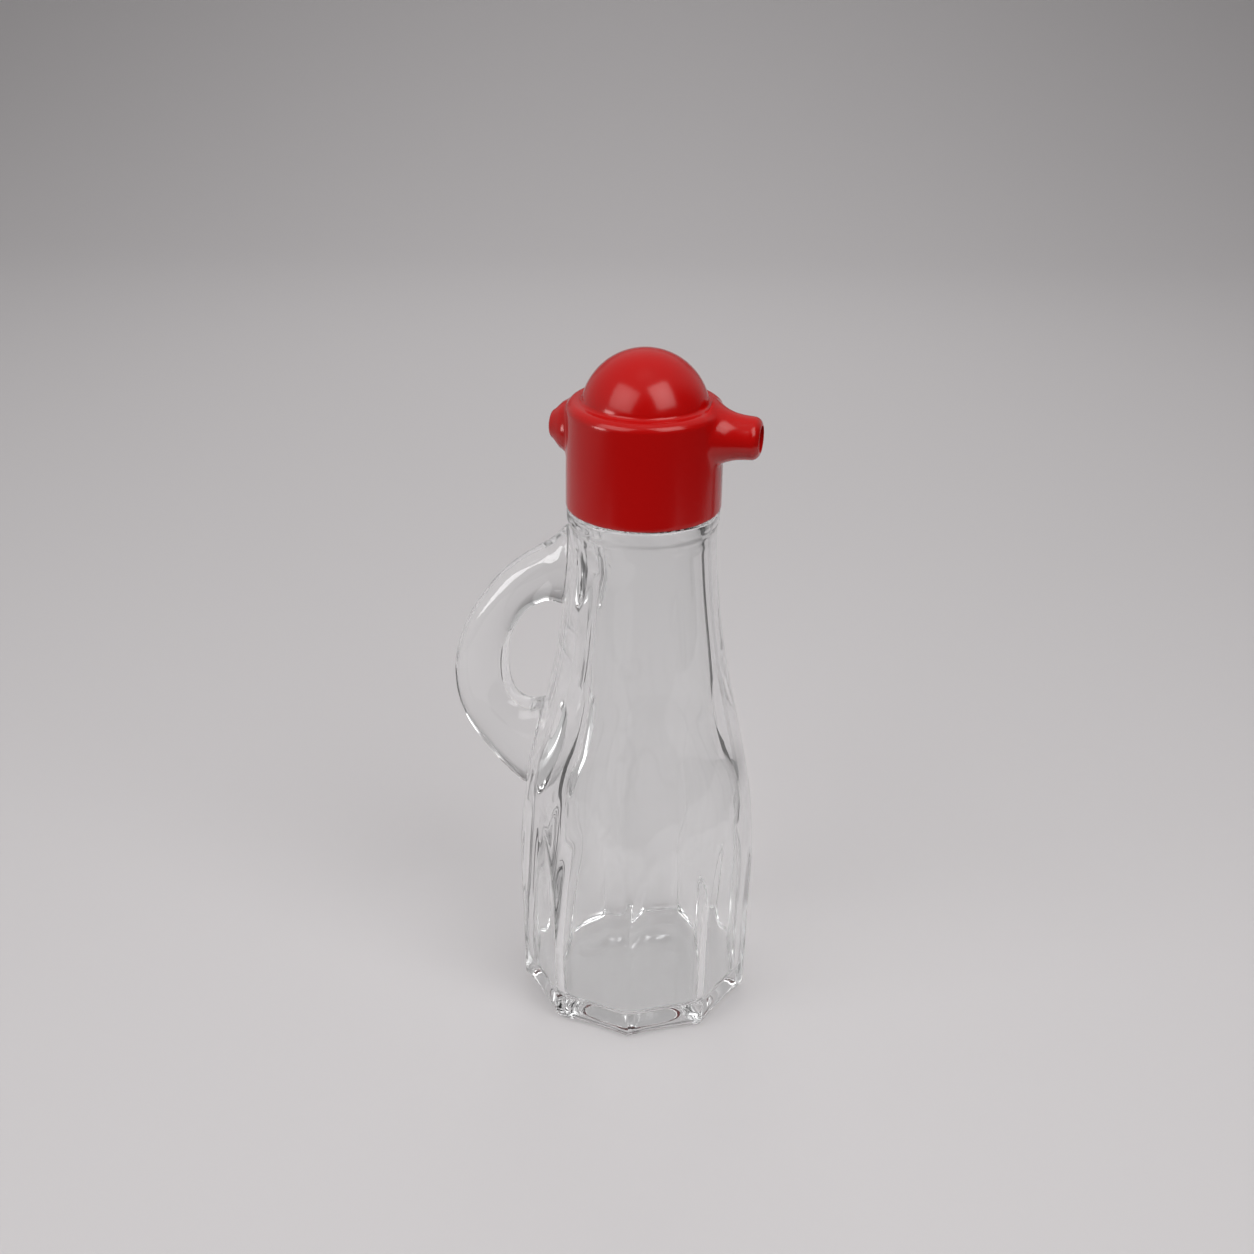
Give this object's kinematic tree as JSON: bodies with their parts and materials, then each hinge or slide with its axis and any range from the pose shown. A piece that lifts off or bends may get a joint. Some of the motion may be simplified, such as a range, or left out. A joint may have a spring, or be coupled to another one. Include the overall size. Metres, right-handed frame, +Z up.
{
  "type": "glass cruet with pouring cap",
  "caption": "Clear pressed-glass cruet with flat hollow sides, a tapered neck and a loop handle, closed by a red domed pouring cap with a spout.",
  "frame": {"origin": "On the axis of the bottle, on the plane that it stands on.", "axes": "Z up along the axis of the bottle, the spout points along +X and the handle along -X."},
  "size_m": [0.0749, 0.0574, 0.1642],
  "materials": {
    "clear_glass": "clear and polished, with slightly soft pressed edges",
    "red_plastic": "glossy moulded red plastic"
  },
  "bodies": {
    "root": {"glass_bottle": "clear_glass", "pourer_cap": "red_plastic"}
  },
  "joints": []
}
